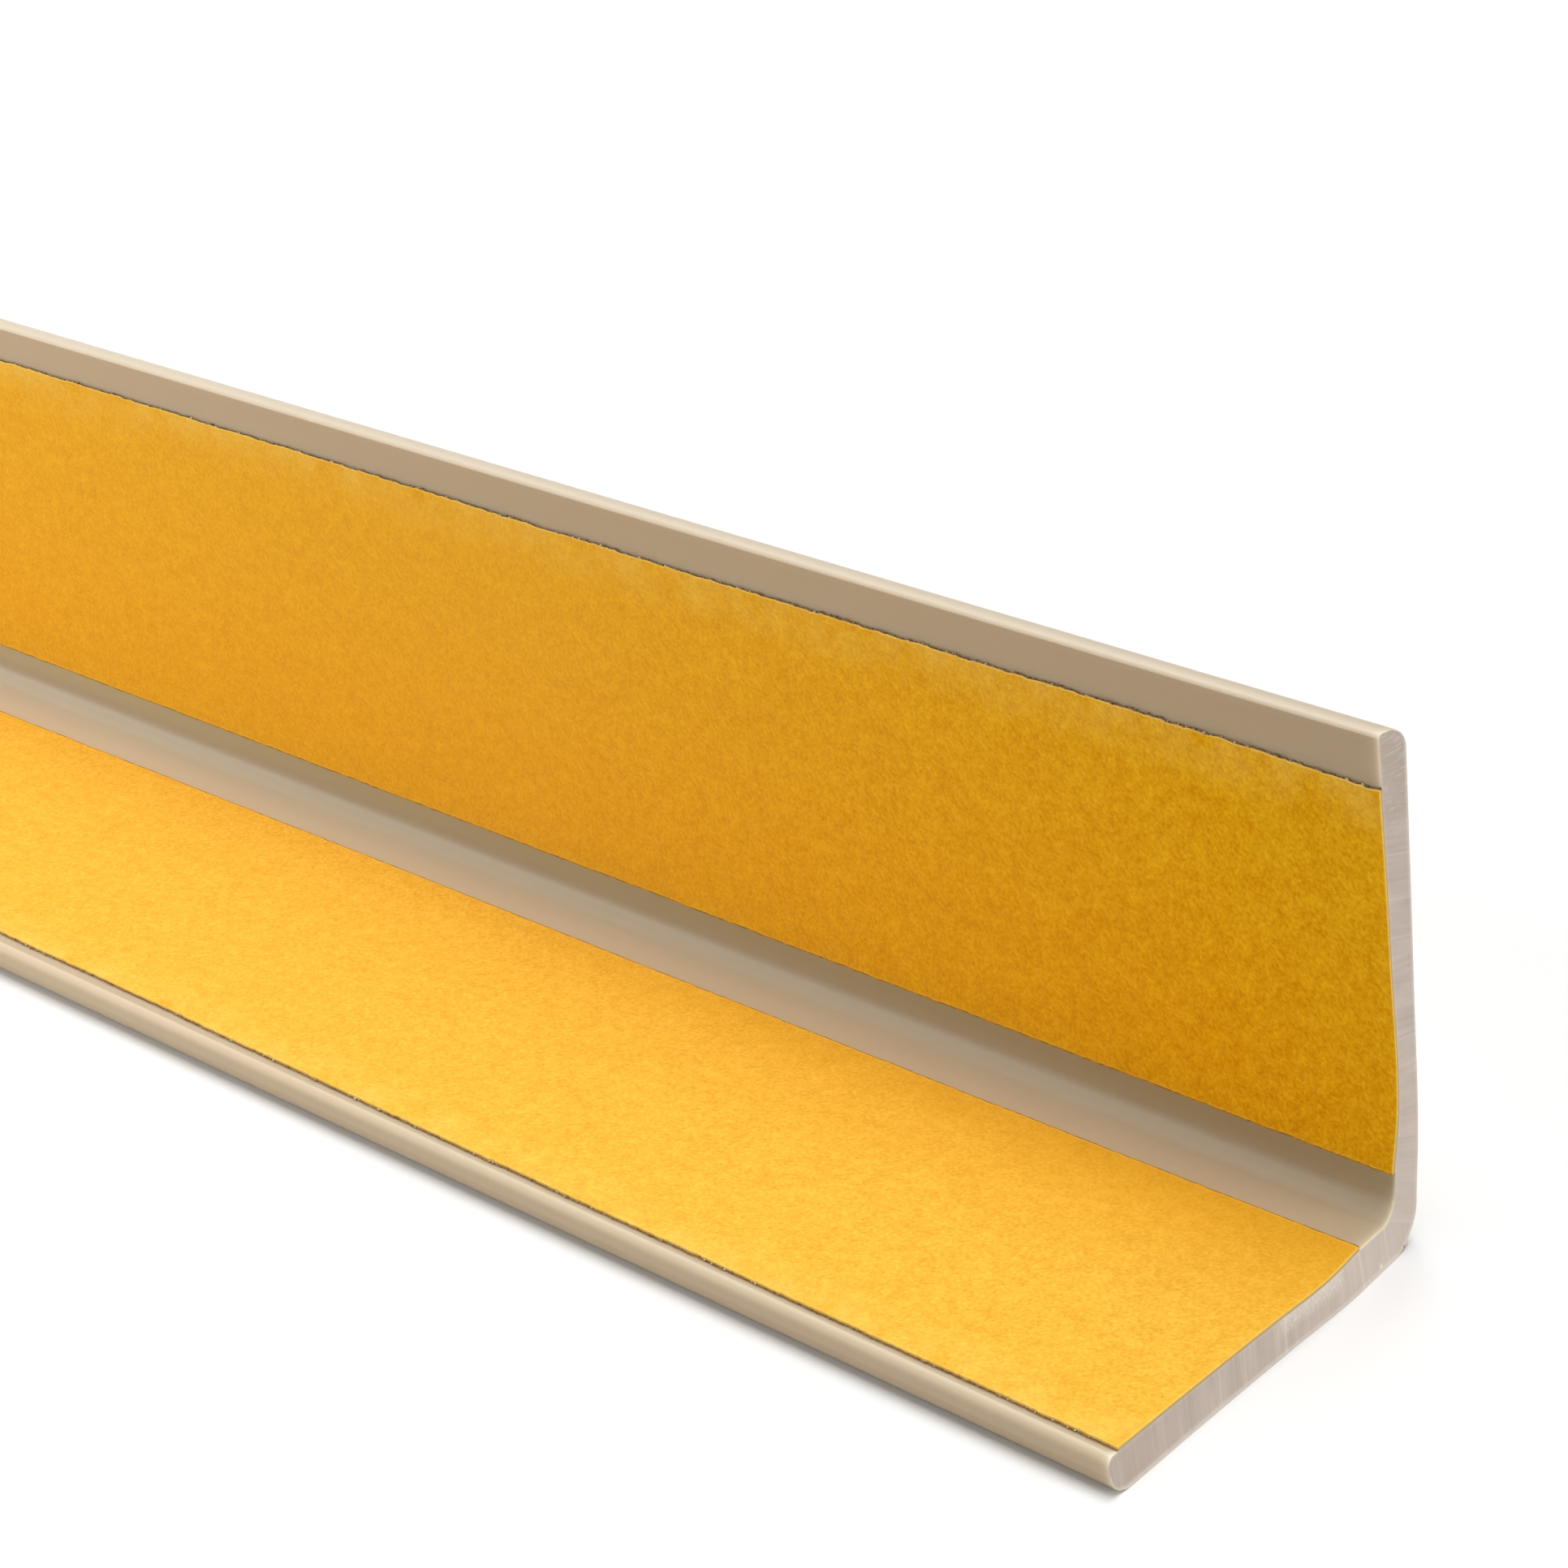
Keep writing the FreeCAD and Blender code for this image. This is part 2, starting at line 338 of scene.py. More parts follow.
def cut_streak(y, z):
    """Place that stays the same along a mark: y below the knock, the slanted height above it."""
    slant = MARK_SLANT + (KNOCK_SLANT - MARK_SLANT) * np.clip((STEEP_BELOW - z) / STEEP_RANGE, 0, 1)
    climb = z + slant * (y - upright_face)
    return np.where(z + KNOCK_SLANT * y < KNOCK, y - upright_face, climb)


def cut_marks(streak, depth):
    """Depth of the marks: a fine and a wide drift along the section and a dapple, none at the border."""
    drifts = drift(streak, 0.3, 11) + drift(streak, 0.8, 12)
    marks = MARK_DEPTH * (drifts + 0.7 * dapple(streak, depth, 0.4, 13))
    inside = np.clip((wall / 2 - np.abs(depth)) / MARK_FADE, 0, 1)
    return np.abs(marks) * inside


section = section_grid()
streak = cut_streak(section[..., 0], section[..., 1])
depth = np.broadcast_to(np.linspace(0.5, -0.5, RUNGS + 2)[:, None] * wall, section.shape[:2])
marks = cut_marks(streak, depth)
print("marks up to", marks.max().round(4), "mm deep")

# %% [markdown]
# Now the body: the border is carried from the bowed cut to the square far end, and a grid of rungs closes
# each end. The stations crowd at the ends, where the edge is broken, and are far apart between, because the
# faces there are straight. The named values tell the finish what was cut, where the marks run, what is worn
# and where light that enters at the cut glows out again.

# %% Body of the angle
GLOW = 0.2
SETBACKS = np.array([0, 0.02, 0.06, 0.12, 0.2, 0.35, 0.6, 1, 3, 8, 15, 25, 40, 60, 80, 100, 150, 200,
                     300, 400, 500, 600, 700, 800, 900, 950, 990, 999.94, 999.98, 1000])


def make_angle():
    """Two caps of rungs, the near one with its marks, and the loops of the border between them."""
    numbers = border_of(np.arange((RUNGS + 2) * CHAIN).reshape(RUNGS + 2, CHAIN, 1))[:, 0]
    border = border_of(section)
    setback = SETBACKS * span / SETBACKS[-1]
    loops = edge_loops(border, setback)
    share = setback[:, None] / span
    side_x = cut_x(loops[..., 0], loops[..., 1]) * (1 - share) + far_x * share
    between = np.dstack([side_x, loops])[1:-1].reshape(-1, 3)

    flat = section.reshape(-1, 2).copy()
    flat[numbers] = loops[0]
    near_cap = np.column_stack([cut_x(*flat.T) - marks.ravel(), flat])
    far_cap = np.column_stack([np.full(len(flat), far_x), flat])

    middle = np.arange(len(between)).reshape(-1, len(border)) + 2 * len(flat)
    ladder = np.vstack([numbers, middle, numbers + len(flat)])
    sides = ladder.ravel()[quads(len(setback), len(border), wrap=True)]
    cap = quads(RUNGS + 2, CHAIN)
    on_caps, off_caps = np.ones(2 * len(flat)), np.zeros(len(between))
    # glow: where the skin's finish paints light that comes out of the plastic near the cut
    glow = np.repeat(np.exp(-setback[1:-1] / GLOW), len(border))
    traits = {
        "cut": np.concatenate([on_caps, off_caps]),
        "streak": np.concatenate([streak.ravel(), streak.ravel(), off_caps]),
        "depth": np.concatenate([depth.ravel(), depth.ravel(), off_caps]),
        "worn": np.concatenate([0 * on_caps, np.tile(worn_edges(border), len(setback) - 2)]),
        "glow": np.concatenate([on_caps, glow]),
    }
    shape = np.vstack([near_cap, far_cap, between]), [sides[:, ::-1], cap, cap[:, ::-1] + len(flat)], traits
    return new_piece("pvc_angle", "angle_profile", "pvc", shape)


angle = make_angle()

# %% [markdown]
# Each strip of tape is glue under paper. Both lie flat on a leg, so they are worked out in a strip's own
# terms: a share of the length, w across the strip from the corner towards the tip, and n away from the
# leg. Two short functions turn those into places on the upright and on the lower leg. The stations lie
# close together near the cut, where the camera is, and spread out towards the far end.

# %% Places on the two legs
NEAR, MIDDLE = 32, 115
NEAR_STEP, MIDDLE_STEP = 0.07, 0.14
FAR_STATIONS, FAR_SPREAD = 250, 1.3


def along_angle(share, y, z):
    """A point at a share of the way from the far end to the cut."""
    x = far_x + (cut_x(y, z) - far_x) * share
    return np.stack(np.broadcast_arrays(x, y, z), axis=-1)


def on_upright(share, w, n):
    """A point of the upper strip: w climbs the leg from the strip's foot, n stands off to the open side."""
    return along_angle(share, upright_face - n, upper_low[2] + w)


def on_lower_leg(share, w, n):
    """A point of the lower strip: w runs from the strip's inner edge to the tip, n stands off upwards."""
    return along_angle(share, lower_high[1] - w, wall + n)


far_stations = MIDDLE + (span - MIDDLE) * np.linspace(0, 1, FAR_STATIONS) ** FAR_SPREAD
from_cut = np.concatenate([np.arange(0, NEAR, NEAR_STEP), np.arange(NEAR, MIDDLE, MIDDLE_STEP), far_stations])
stations = 1 - from_cut / span
strips = {
    "upper": {"on_leg": on_upright, "width": upper_high[2] - upper_low[2], "seed": 40},
    "lower": {"on_leg": on_lower_leg, "width": lower_high[1] - lower_low[1], "seed": 70},
}
print("strips", [round(strip["width"], 2) for strip in strips.values()], "mm wide, stations", len(stations))

# %% [markdown]
# The tape was laid by hand, so its edges wander by a few tenths of a millimetre, most of all at the upper
# strip's outer corner. On top of that, the slit next to each tip is ragged and the one next to the corner
# is clean. The wander is a line through a few measured places. The tears are three random lines, each finer
# than the one before.

# %% Edges of the strips
SLIT_CLEAN, SLIT_RAGGED = 0.018, {"upper": 0.03, "lower": 0.02}
TEARS = ((0.8, 2.6), (0.9, 0.55), (1, 0.24))
WANDER_AT = np.array([0, 8, 20, 40, 60, 95, 200])
WANDER = {
    ("upper", "inner"): np.array([0.05, 0.06, 0.07, 0.08, 0.07, 0.05, 0]),
    ("upper", "outer"): np.array([-0.42, -0.25, -0.16, -0.15, -0.03, 0, 0]),
    ("lower", "inner"): np.array([-0.24, -0.15, -0.04, 0.06, 0.1, 0.3, 0]),
    ("lower", "outer"): np.array([0, 0, 0, -0.04, -0.2, -0.28, 0]),
}


def layered(layers, seed):
    """Sum of random lines along a strip: each layer has its weight and the spacing of its knots."""
    return sum(weight * drift(from_cut, spacing, seed + i) for i, (weight, spacing) in enumerate(layers))


def slit_edge(leg_name, side, raggedness, seed):
    """How far a slit edge strays across the strip: the measured wander with finer tears on top."""
    wander = smooth_line(np.minimum(from_cut, WANDER_AT[-1]), WANDER_AT, WANDER[leg_name, side])
    return wander + raggedness * layered(TEARS, seed)


for leg_name, strip in strips.items():
    strip["inner"] = slit_edge(leg_name, "inner", SLIT_CLEAN, strip["seed"])
    strip["outer"] = strip["width"] + slit_edge(leg_name, "outer", SLIT_RAGGED[leg_name], strip["seed"] + 5)
    widths = strip["outer"] - strip["inner"]
    print(leg_name, "strip from", round(widths.min(), 2), "to", round(widths.max(), 2), "mm wide")

# %% [markdown]
# The release paper lies almost flat, with a slow cockle of a hundredth of a millimetre or two. A plane with
# a Solidify modifier would come close, but its edges would be straight. So the sheet is a grid between the
# two slit edges, with the same points again below it. A named value marks its rims: 1 on the cut end and
# the torn outer slit, which get a painted highlight, and -1 on the rim along the corner, which gets a dark
# line of painted shade.

# %% Sheets of paper
COCKLE = 0.012
SLOW_COCKLE, QUICK_COCKLE = 7.0, 2.5
RIM_INSET = np.array([0, 0.05, 0.1, 0.2, 0.45])
SHEET_POINTS = np.linspace(0.05, 0.95, 23)


def closed_strip(strip, w, top, under):
    """Points and faces of a strip: a top at its heights across and along, the same below, and two ends."""
    above = strip["on_leg"](stations[:, None], w, top)
    below = strip["on_leg"](stations[:, None], w[:, ::-1], under + 0 * w)
    loop = np.concatenate([above, below], axis=1)
    rows, count = loop.shape[:2]
    step = np.arange(count // 2 - 1)
    end = np.column_stack([step, step + 1, count - 2 - step, count - 1 - step])
    return loop.reshape(-1, 3), [quads(rows, count, wrap=True), end[:, ::-1], end + (rows - 1) * count]


def rim_values(rows, count):
    """1 at the cut end and the outer slit, -1 along the inner slit, a half beside that, 0 on the rest."""
    half = count // 2
    rim = np.zeros((rows, count))
    rim[0] = 1
    rim[:, [half - 1, half]] = 1
    rim[:, [0, 1, count - 1]] = -1
    rim[:, 2] = 0.5
    return rim


def liner_shape(strip):
    """Paper strip: closed between its slit edges, with a cockle on top that dies out towards them."""
    inset = RIM_INSET / strip["width"]
    blend = np.concatenate([inset, SHEET_POINTS, 1 - inset[::-1]])
    w = strip["inner"][:, None] * (1 - blend) + strip["outer"][:, None] * blend
    along = np.broadcast_to(from_cut[:, None], w.shape)
    slow = dapple(along, w, SLOW_COCKLE, strip["seed"] + 9)
    quick = dapple(along, w, QUICK_COCKLE, strip["seed"] + 10)
    cockle = COCKLE * (slow + 0.5 * quick - 1.5) * np.clip(np.minimum(blend, 1 - blend) * 10, 0, 1)
    points, faces = closed_strip(strip, w, glue_thickness + liner_thickness + cockle, glue_thickness)
    across = np.concatenate([w, w[:, ::-1]], axis=1)
    rows, count = across.shape
    traits = {
        "along": np.repeat(from_cut, count),
        "across": across.ravel(),
        "outer": (strip["outer"][:, None] - across).ravel(),
        "rim": rim_values(rows, count).ravel(),
        "fibre": np.zeros(rows * count),
    }
    return points, faces, traits


for strip in strips.values():
    strip["sheet"] = liner_shape(strip)
    print("sheet of", len(strip["sheet"][0]), "points")

# %% [markdown]
# Here and there a fibre stands out of a paper's ragged edge. Hair particles could make them, but they would
# not export as a mesh. So fibres are thin three-sided tubes along a bent line, all made in one array, and
# each is joined to its sheet as part of the same piece.

# %% Fibres and the finished papers
FIBRES, FIBRE_RADIUS = 110, 0.014
FIBRE_PLACES, FIBRE_LENGTHS, FIBRE_LEANS = (0.5, 110), (0.12, 0.4), (-1.2, 1.2)
FIBRE_LIFTS, FIBRE_RISES = (0.02, 0.09), (-0.04, 0.08)
FIBRE_ROOT, FIBRE_BEND = 0.08, 0.04
TUBE_RINGS, TUBE_SIDES = 7, np.radians([90, 210, 330])
TUBE_POINTS = TUBE_RINGS * len(TUBE_SIDES)


def tubes(roots, tips, bend, radius):
    """Thin tubes from roots to tips, bowed sideways by bend in the middle and narrower at both ends."""
    steps = np.linspace(0, 1, TUBE_RINGS)[None, :, None]
    path = roots[:, None] * (1 - steps) + tips[:, None] * steps + bend[:, None] * np.sin(np.pi * steps)
    ring = np.stack([0 * TUBE_SIDES, np.cos(TUBE_SIDES), np.sin(TUBE_SIDES)], axis=-1)
    thickness = radius * np.sin(np.pi * np.linspace(0.04, 0.96, TUBE_RINGS)) ** 0.5
    points = path[:, :, None] + ring[None, None] * thickness[None, :, None, None]
    one = quads(TUBE_RINGS, len(TUBE_SIDES), wrap=True)
    starts = np.arange(len(roots))[:, None, None] * TUBE_POINTS
    return points.reshape(-1, 3), (one[None] + starts).reshape(-1, 4)


def fibre_shape(strip):
    """Fibres that stick out of the outer slit near the cut, each a few tenths of a millimetre long."""
    random = np.random.default_rng(strip["seed"] + 20)
    place = random.uniform(*FIBRE_PLACES, FIBRES)
    edge = np.interp(place, from_cut, strip["outer"])
    length = random.uniform(*FIBRE_LENGTHS, FIBRES)
    lean = random.uniform(*FIBRE_LEANS, FIBRES)
    lift = glue_thickness + random.uniform(*FIBRE_LIFTS, FIBRES)
    end_lift = lift + random.uniform(*FIBRE_RISES, FIBRES)
    bend = random.normal(0, FIBRE_BEND, (FIBRES, 3))
    roots = strip["on_leg"](1 - place / span, edge - FIBRE_ROOT, lift)
    ends = strip["on_leg"](1 - (place + lean * length) / span, edge + length * 0.5, end_lift)
    forward = ends[:, :1] > roots[:, :1]
    points, faces = tubes(np.where(forward, roots, ends), np.where(forward, ends, roots), bend, FIBRE_RADIUS)
    none, full = np.zeros(len(points)), np.ones(len(points))
    along, across = np.repeat(place, TUBE_POINTS), np.repeat(edge, TUBE_POINTS)
    traits = {"along": along, "across": across, "outer": none, "rim": none, "fibre": full}
    return points, [faces], traits


for leg_name, strip in strips.items():
    strip["paper"] = new_piece(leg_name + "_liner_paper", leg_name + "_release_liner", "liner_paper",
                               strip["sheet"], fibre_shape(strip))

# %% [markdown]
# Under the paper lies the glue. It shows only along its edges, as a brown line that swells and thins where
# the glue has crept past the slit and caught dust. The line could be painted on the plastic, but it has a
# height of its own and casts a shadow. So the film is a closed strip that follows the paper's two edges and
# slopes down to the leg beyond them.

# %% Glue films
CREEP = {"upper": (0.04, 0.055), "lower": (0.04, 0.018)}
SWELLS = ((1, 1.7), (0.8, 0.4), (1.2, 0.13))
LEAST_CREEP, MOST_CREEP = 0.2, 2.4
FRESH_END, FRESH_RANGE, STALE = 75, 40, 0.3
HIDDEN_POINTS = 20
TUCKED, HIDDEN = 0.03, 0.2


def creep(amount, seed):
    """How far the glue stands out: never under a fifth of the amount, and less of it away from the cut."""
    fresh = STALE + (1 - STALE) * np.clip((FRESH_END - from_cut) / FRESH_RANGE, 0, 1)
    return amount * fresh * np.clip(0.8 + 0.7 * layered(SWELLS, seed), LEAST_CREEP, MOST_CREEP)


def film_shape(strip):
    """Glue film: full height under the paper, sloping down to the leg where it has crept out, flat below."""
    inner_edge, outer_edge = strip["inner"][:, None], strip["outer"][:, None]
    inner_creep, outer_creep = strip["inner_creep"][:, None], strip["outer_creep"][:, None]
    blend = np.linspace(0, 1, HIDDEN_POINTS)[None]
    w = np.hstack([inner_edge - inner_creep * [1, 0.5], inner_edge + TUCKED,
                   (inner_edge + HIDDEN) * (1 - blend) + (outer_edge - HIDDEN) * blend,
                   outer_edge - TUCKED, outer_edge + outer_creep * [0.5, 1]])
    n = np.concatenate([[0.1, 0.7], np.ones(HIDDEN_POINTS + 2), [0.7, 0.1]]) * glue_thickness
    points, faces = closed_strip(strip, w, n[None] + 0 * w, 0)
    dirt = np.concatenate([[0.9, 0.8], np.zeros(HIDDEN_POINTS + 2), [1, 1]])
    traits = {"dirt": np.tile(np.concatenate([dirt, dirt[::-1]]), len(w)), "pale": np.zeros(len(points))}
    return points, faces, traits


for leg_name, strip in strips.items():
    for side, amount in zip(("inner_creep", "outer_creep"), CREEP[leg_name]):
        strip[side] = creep(amount, strip["seed"] + 40)
    print(leg_name, "glue creeps out by up to", round(strip["outer_creep"].max(), 3), "mm")

# %% [markdown]
# Crumbs of paper and dirt stick to the glue that has crept out. They could be instances of one ball, but
# then they would all look alike. Each is the same small ball of points, stretched and made lumpy by its own
# random numbers, and all of them are one array that is joined to the film.

# %% Crumbs and the finished glue
CRUMBS, PALE_SHARE = 900, 0.3
CRUMB_PLACES, CRUMB_REACHES = (0.2, 112), (0.1, 1.1)
SMALLEST_CRUMB, CRUMB_RANGE, CRUMB_LIFT = 0.015, 0.06, 0.03
CRUMB_STRETCH, CRUMB_LUMPS = (0.6, 1.4), (0.75, 1.15)
BALL_RINGS, BALL_SIDES, BALL_POLE = 5, 6, 0.05


def crumb_ball():
    """Points of a ball of radius 1 in rings, from just below the top to just above the bottom."""
    polar, turn = np.meshgrid(np.linspace(BALL_POLE, np.pi - BALL_POLE, BALL_RINGS),
                              np.linspace(0, 2 * np.pi, BALL_SIDES + 1)[:-1], indexing="ij")
    ball = [np.sin(polar) * np.cos(turn), np.sin(polar) * np.sin(turn), np.cos(polar)]
    return np.stack(ball, axis=-1).reshape(-1, 3)


def crumb_shape(strip):
    """Crumbs: small uneven balls stuck along the outer edge of the glue, a third of them pale."""
    random = np.random.default_rng(strip["seed"] + 30)
    place = random.uniform(*CRUMB_PLACES, CRUMBS)
    edge = np.interp(place, from_cut, strip["outer"])
    reach = np.interp(place, from_cut, strip["outer_creep"])
    size = SMALLEST_CRUMB + CRUMB_RANGE * random.random(CRUMBS) ** 3
    across = edge + reach * random.uniform(*CRUMB_REACHES, CRUMBS)
    centre = strip["on_leg"](1 - place / span, across, CRUMB_LIFT + size * 0.6)
    ball = crumb_ball()
    stretch = random.uniform(*CRUMB_STRETCH, (CRUMBS, 1, 3))
    lumps = random.uniform(*CRUMB_LUMPS, (CRUMBS, len(ball), 1))
    points = centre[:, None] + ball[None] * stretch * lumps * size[:, None, None]
    starts = np.arange(CRUMBS)[:, None, None] * len(ball)
    faces = (quads(BALL_RINGS, BALL_SIDES, wrap=True)[None] + starts).reshape(-1, 4)
    lid = np.arange(BALL_SIDES)[None]
    base = lid + len(ball) - BALL_SIDES
    caps = np.concatenate([lid[:, ::-1] + starts[:, 0], base + starts[:, 0]])
    pale = np.repeat(random.random(CRUMBS) < PALE_SHARE, len(ball)).astype(float)
    return points.reshape(-1, 3), [faces, caps], {"dirt": np.ones(len(pale)), "pale": pale}


for leg_name, strip in strips.items():
    strip["glue"] = new_piece(leg_name + "_glue_film", leg_name + "_adhesive_strip", "glue",
                              film_shape(strip), crumb_shape(strip))


# %% [markdown]
# Finishes are node trees, and node trees read best as arithmetic. They could be wired by hand in the editor
# or line by line in code, which hides the sums in them. Here a Wire stands for one output socket, and adding
# or multiplying wires adds the Math nodes. Every other node comes from the tree's add method.

# %% Node arithmetic
class Wire:
    """One output socket that takes part in arithmetic."""

    def __init__(self, tree, socket):
        self.tree = tree
        self.socket = socket

    def math(self, operation, first, second):
        return self.tree.add("ShaderNodeMath", {"operation": operation}, {0: first, 1: second})

    def __add__(self, other):
        return self.math("ADD", self, other)

    def __sub__(self, other):
        return self.math("SUBTRACT", self, other)

    def __rsub__(self, other):
        return self.math("SUBTRACT", other, self)

    def __mul__(self, other):
        return self.math("MULTIPLY", self, other)

    def rise(self, low, high):
        """0 below low, 1 above high and an even slope between them."""
        sockets = {"Value": self, "From Min": low, "From Max": high}
        return self.tree.add("ShaderNodeMapRange", {"clamp": True}, sockets)

    __radd__ = __add__
    __rmul__ = __mul__


class Tree:
    """A node tree whose nodes are added by name and wired up as they are made."""

    def __init__(self, owner):
        owner.use_nodes = True
        self.node_tree = owner.node_tree

    def add(self, kind, settings, sockets, output=0):
        """A node of that kind, with its settings made first and then its sockets set or linked."""
        node = self.node_tree.nodes.new(kind)
        for name, value in settings.items():
            setattr(node, name, value)
        for name, value in sockets.items():
            self.feed(node.inputs[name], value)
        return Wire(self, node.outputs[output])

    def feed(self, socket, value):
        """Links a wire to a socket, or sets the socket to a plain value."""
        if isinstance(value, Wire):
            self.node_tree.links.new(value.socket, socket)
        else:
            socket.default_value = value

    def seen(self):
        """1 for the rays that look at a thing, straight or in a shine, and 0 for the light that it throws."""
        rays = ("Is Camera Ray", "Is Glossy Ray", "Is Transmission Ray")
        return sum(self.add("ShaderNodeLightPath", {}, {}, ray) for ray in rays).rise(0, 1)


# %% [markdown]
# A finish is such a tree with one shader in it, and methods for the nodes that come up again and again.
# Places are Object coordinates in millimetres, or a piece's named values where a pattern follows the sheet.

# %% Finishes
class Finish(Tree):
    """A material that starts with one shader and the place on the piece in millimetres."""

    def __init__(self, name):
        self.material = bpy.data.materials.new(name)
        super().__init__(self.material)
        self.shader = self.node_tree.nodes["Principled BSDF"]
        place = self.add("ShaderNodeTexCoord", {}, {}, "Object")
        self.place = self.stretch(place, 1 / MM, 1 / MM, 1 / MM)

    def stretch(self, vector, x, y, z):
        """A place with each axis multiplied, so that a pattern on it is drawn out the other way."""
        return self.add("ShaderNodeVectorMath", {"operation": "MULTIPLY"}, {0: vector, 1: (x, y, z)})

    def turn(self, vector, degrees):
        """A place turned about the z axis."""
        return self.add("ShaderNodeMapping", {}, {"Vector": vector, "Rotation": (0, 0, np.radians(degrees))})

    def flat_place(self, first, second):
        """A place on a sheet, from two of the piece's own named values."""
        return self.add("ShaderNodeCombineXYZ", {}, {"X": self.trait(first), "Y": self.trait(second)})

    def noise(self, vector, scale, detail=2, roughness=0.5):
        """Cloudy pattern from 0 to 1."""
        sockets = {"Vector": vector, "Scale": scale, "Detail": detail, "Roughness": roughness}
        return self.add("ShaderNodeTexNoise", {}, sockets)

    def trait(self, name):
        """One of the piece's own named values."""
        return self.add("ShaderNodeAttribute", {"attribute_name": name}, {}, "Fac")

    def mix(self, share, first, second):
        """A colour between two colours."""
        return self.add("ShaderNodeMix", {"data_type": "RGBA"}, {0: share, 6: first, 7: second}, 2)

    def bump(self, height):
        """Normal of a surface whose height is given in millimetres."""
        return self.add("ShaderNodeBump", {}, {"Height": height, "Distance": MM, "Strength": 1.0})

    def finish(self, **sockets):
        """Sets or links the shader's own sockets; a name's underscores stand for spaces."""
        for name, value in sockets.items():
            self.feed(self.shader.inputs[name.replace("_", " ")], value)
        return self.material

    def overlay(self, share):
        """Puts a second shader over the first by a share; what is set after that belongs to the second."""
        first = Wire(self, self.shader.outputs[0])
        self.shader = self.node_tree.nodes.new("ShaderNodeBsdfPrincipled")
        second = Wire(self, self.shader.outputs[0])
        both = self.add("ShaderNodeMixShader", {}, {0: share, 1: first, 2: second})
        self.feed(self.node_tree.nodes["Material Output"].inputs["Surface"], both)


def srgb(red, green, blue):
    """A colour given on a 0 to 255 scale, as the linear colour that a shader takes."""
    share = np.array([red, green, blue]) / 255
    linear = np.where(share <= 0.04045, share / 12.92, ((share + 0.055) / 1.055) ** 2.4)
    return (*linear.tolist(), 1.0)


def wear(piece, material):
    """Gives a piece its finish and says how many nodes that took."""
    piece.data.materials.append(material)
    print(f"{piece.name} wears {material.name} of {len(material.node_tree.nodes)} nodes")


# %% [markdown]
# The PVC is beige all through and a little milky, so light that enters at an edge glows out beside it. Its
# skin isn't one colour: the tip roundings are rubbed pale, and near the cut the glow is also painted into
# the colour. The front of the lower tip is painted lighter and warmer as light, less so near the cut, and
# the groove beside the lower paper is paler with dust, also less so near the cut; both fall-offs are
# painted shade. The foot of the upright is painted paler far from the cut and darker near it, as light and
# shade, the top gets painted shade near the cut, and a faint darker brown band runs in patches along the
# upper slit. Each is a mask from the place on the piece, mixed over what came before.

# %% Colour of the plastic's skin
NEAR_CUT = 90
BEIGE, LIGHT_BEIGE = srgb(193, 174, 144), srgb(199, 180, 150)
RUBBED, GLOWING, DUST_AND_LIGHT = srgb(224, 210, 188), srgb(246, 234, 208), srgb(214, 200, 174)
LIT_TIP_FAR, SHADED_TIP_NEAR = srgb(219, 194, 153), srgb(208, 181, 142)
LIT_GROOVE_FAR, SHADED_GROOVE_NEAR = srgb(200, 192, 157), srgb(180, 167, 137)
SHADED_TOP, DARK_BAND_BROWN = srgb(160, 140, 114), srgb(126, 92, 56)


def skin_colour(pvc, x, y, z):
    """Beige, worn edges, painted tip light, glow, dust, groove and top shade, dark band, each over the last.
    """
    # near is 1 at the cut; marks that weaken or darken with it are painted shade where the light falls off
    near = x.rise(end_x - NEAR_CUT, end_x)
    cloud = pvc.noise(pvc.stretch(pvc.place, 0.05, 0.5, 0.5), 1.0, 2)
    skin = pvc.mix(cloud, BEIGE, LIGHT_BEIGE)
    skin = pvc.mix(pvc.trait("worn") * 0.7, skin, RUBBED)
    # painted light: the front of the lower tip is paler and warmer, less so and darker near the cut
    tip = 1 - y.rise(tip_y + 0.05, tip_y + 0.4)
    skin = pvc.mix(tip * (0.7 - 0.15 * near), skin, pvc.mix(near, LIT_TIP_FAR, SHADED_TIP_NEAR))
    # painted glow: paler skin right beside the cut stands for light coming out of the milky plastic
    skin = pvc.mix(pvc.trait("glow") * 0.85, skin, GLOWING)
    # dust makes the groove paler; its fall-off near the cut is painted shade
    dust = (1 - z.rise(wall + 0.05, wall + 0.7)) * y.rise(lower_high[1] - 0.5, lower_high[1])
    skin = pvc.mix(dust * (1.05 - 0.85 * near), skin, DUST_AND_LIGHT)
    # painted light and shade: the foot of the upright is paler far from the cut and darker near it
    groove_shade = z.rise(wall + 0.8, wall + 1.6) * (1 - z.rise(upper_low[2] + 0.3, upper_low[2] + 0.4))
    skin = pvc.mix(groove_shade * 0.8, skin, pvc.mix(near, LIT_GROOVE_FAR, SHADED_GROOVE_NEAR))
    # painted shade: the top of the upright is darkened near the cut
    top_shade = z.rise(leg - 0.3, leg - 0.02) * y.rise(upright_face + 0.3, upright_face + 0.9)
    skin = pvc.mix(top_shade * (0.1 + 0.4 * near), skin, SHADED_TOP)
    # a faint darker brown band, in patches, along the upper slit
    band_patches = pvc.noise(pvc.stretch(pvc.place, 0.9, 3.0, 3.0), 1.0, 3)
    slit_z = upper_high[2]
    slit_band = z.rise(slit_z - 1, slit_z - 0.7) * (1 - z.rise(slit_z - 0.4, slit_z + 0.25))
    slit_band = slit_band * (1 - y.rise(upright_face, upright_face + 0.1))
    return pvc.mix(slit_band * band_patches.rise(0.35, 0.65) * 0.3, skin, DARK_BAND_BROWN)


